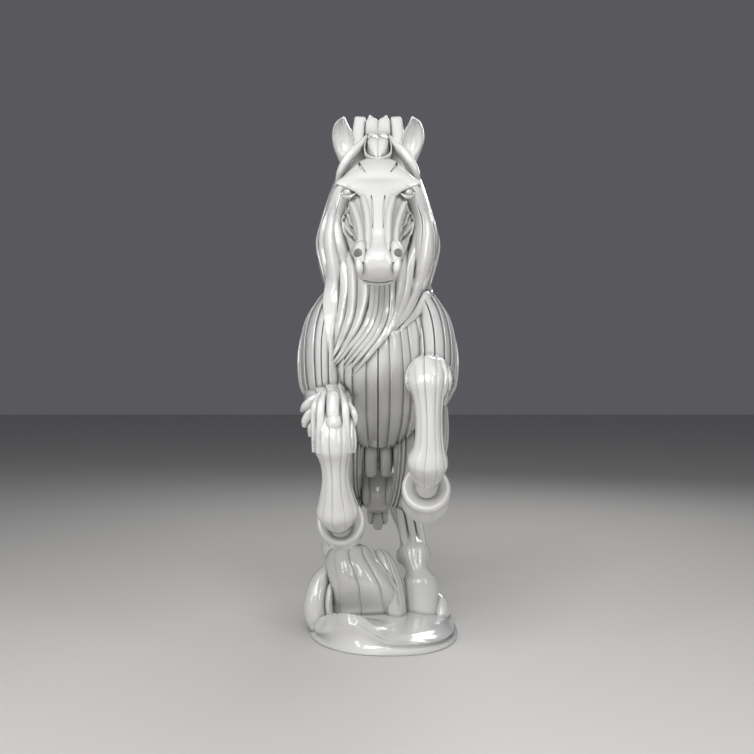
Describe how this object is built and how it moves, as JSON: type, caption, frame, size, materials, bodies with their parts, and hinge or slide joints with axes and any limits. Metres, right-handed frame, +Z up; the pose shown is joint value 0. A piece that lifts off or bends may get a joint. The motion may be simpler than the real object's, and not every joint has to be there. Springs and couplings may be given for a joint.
{
  "type": "rearing horse statuette",
  "caption": "Cast statuette of a rearing horse with slat-like carved relief, standing on its hind hooves on a low drift-shaped base with a curling wave.",
  "frame": {"origin": "on the underside of the base, below the middle of the statuette's box", "axes": "+Z up, the horse faces -Y, +X is on the horse's left side"},
  "size_m": [0.085, 0.2348, 0.2801],
  "materials": {
    "gloss_white": "opaque glossy white cast resin, polished, slightly pearl grey in the carved creases"
  },
  "bodies": {
    "root": {"horse_statuette": "gloss_white"}
  },
  "joints": []
}
